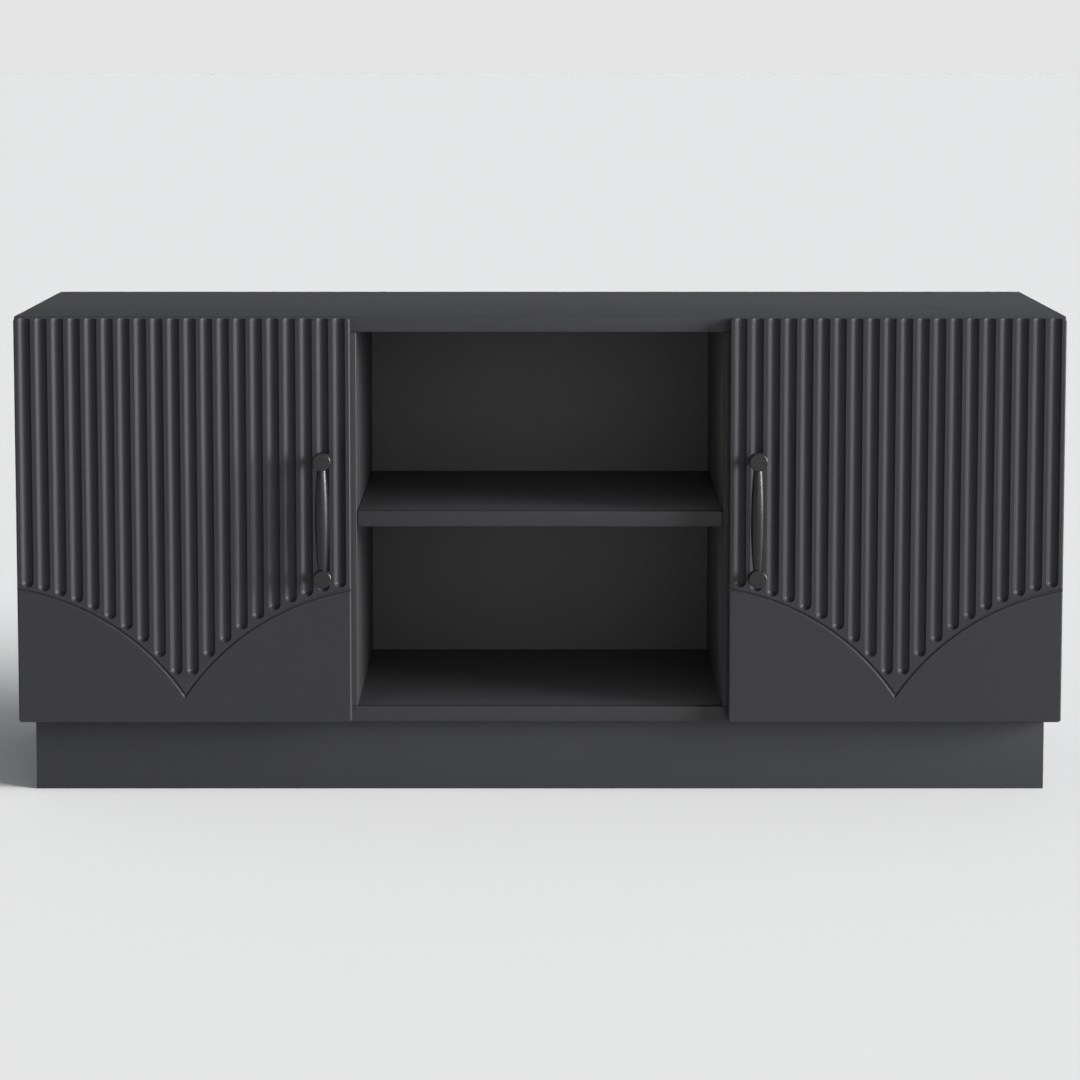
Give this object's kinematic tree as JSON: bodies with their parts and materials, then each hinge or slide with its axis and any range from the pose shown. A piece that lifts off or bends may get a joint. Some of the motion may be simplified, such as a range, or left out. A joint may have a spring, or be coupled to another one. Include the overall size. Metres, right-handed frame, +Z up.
{
  "type": "sideboard",
  "caption": "Low sideboard with fluted swing doors on concealed hinges either side of an open centre bay with a shelf, on a recessed plinth.",
  "frame": {"origin": "on the floor, under the middle of the whole piece with its handles", "axes": "+X to the right as seen from the front, +Y to the back, +Z up"},
  "size_m": [1.2, 0.43, 0.552],
  "materials": {
    "door_lacquer": "satin graphite lacquer on routed fibreboard",
    "carcase_lacquer": "matt graphite lacquer on board",
    "back_board": "matt graphite lacquer on thin board",
    "handle_metal": "satin dark lacquer on cast metal",
    "hinge_nickel": "nickel plate",
    "steel": "bright zinc plate",
    "bumper": "soft translucent plastic"
  },
  "bodies": {
    "carcase": {"back_panel": "back_board", "bottom_panel": "carcase_lacquer", "centre_shelf": "carcase_lacquer", "hinge_arm_left_lower": "hinge_nickel", "hinge_arm_left_upper": "hinge_nickel", "hinge_arm_right_lower": "hinge_nickel", "hinge_arm_right_upper": "hinge_nickel", "hinge_plate_left_lower": "hinge_nickel", "hinge_plate_left_upper": "hinge_nickel", "hinge_plate_right_lower": "hinge_nickel", "hinge_plate_right_upper": "hinge_nickel", "left_shelf": "carcase_lacquer", "partition_left": "carcase_lacquer", "partition_right": "carcase_lacquer", "plinth_back": "carcase_lacquer", "plinth_brace": "carcase_lacquer", "plinth_front": "carcase_lacquer", "plinth_side_left": "carcase_lacquer", "plinth_side_right": "carcase_lacquer", "right_shelf": "carcase_lacquer", "shelf_pin_left_partition_front": "steel", "shelf_pin_left_partition_rear": "steel", "shelf_pin_left_side_front": "steel", "shelf_pin_left_side_rear": "steel", "shelf_pin_right_partition_front": "steel", "shelf_pin_right_partition_rear": "steel", "shelf_pin_right_side_front": "steel", "shelf_pin_right_side_rear": "steel", "side_panel_left": "carcase_lacquer", "side_panel_right": "carcase_lacquer", "top_panel": "carcase_lacquer"},
    "left_hinge_links": {"hinge_link_left_lower": "hinge_nickel", "hinge_link_left_upper": "hinge_nickel"},
    "left_door": {"door_bumper_left_lower": "bumper", "door_bumper_left_upper": "bumper", "door_left": "door_lacquer", "handle_left": "handle_metal", "handle_screw_left_lower": "steel", "handle_screw_left_upper": "steel", "hinge_cup_left_lower": "hinge_nickel", "hinge_cup_left_upper": "hinge_nickel"},
    "right_hinge_links": {"hinge_link_right_lower": "hinge_nickel", "hinge_link_right_upper": "hinge_nickel"},
    "right_door": {"door_bumper_right_lower": "bumper", "door_bumper_right_upper": "bumper", "door_right": "door_lacquer", "handle_right": "handle_metal", "handle_screw_right_lower": "steel", "handle_screw_right_upper": "steel", "hinge_cup_right_lower": "hinge_nickel", "hinge_cup_right_upper": "hinge_nickel"}
  },
  "joints": [
    {"name": "left_hinge_link_turn", "type": "hinge", "parent": "carcase", "child": "left_hinge_links", "pos_m": [-0.568, -0.169, 0.3185], "axis": [0, 0, -1], "range_deg": [-47.5, 0]},
    {"name": "left_door_swing", "type": "hinge", "parent": "left_hinge_links", "child": "left_door", "pos_m": [-0.5865, -0.1715, 0.3185], "axis": [0, 0, -1], "range_deg": [0, 142.5]},
    {"name": "right_hinge_link_turn", "type": "hinge", "parent": "carcase", "child": "right_hinge_links", "pos_m": [0.568, -0.169, 0.3185], "axis": [0, 0, 1], "range_deg": [-47.5, 0]},
    {"name": "right_door_swing", "type": "hinge", "parent": "right_hinge_links", "child": "right_door", "pos_m": [0.5865, -0.1715, 0.3185], "axis": [0, 0, 1], "range_deg": [0, 142.5]}
  ],
  "couplings": [
    {"joint": "left_hinge_link_turn", "follows": "left_door_swing", "ratio": -0.33333},
    {"joint": "right_hinge_link_turn", "follows": "right_door_swing", "ratio": -0.33333}
  ]
}
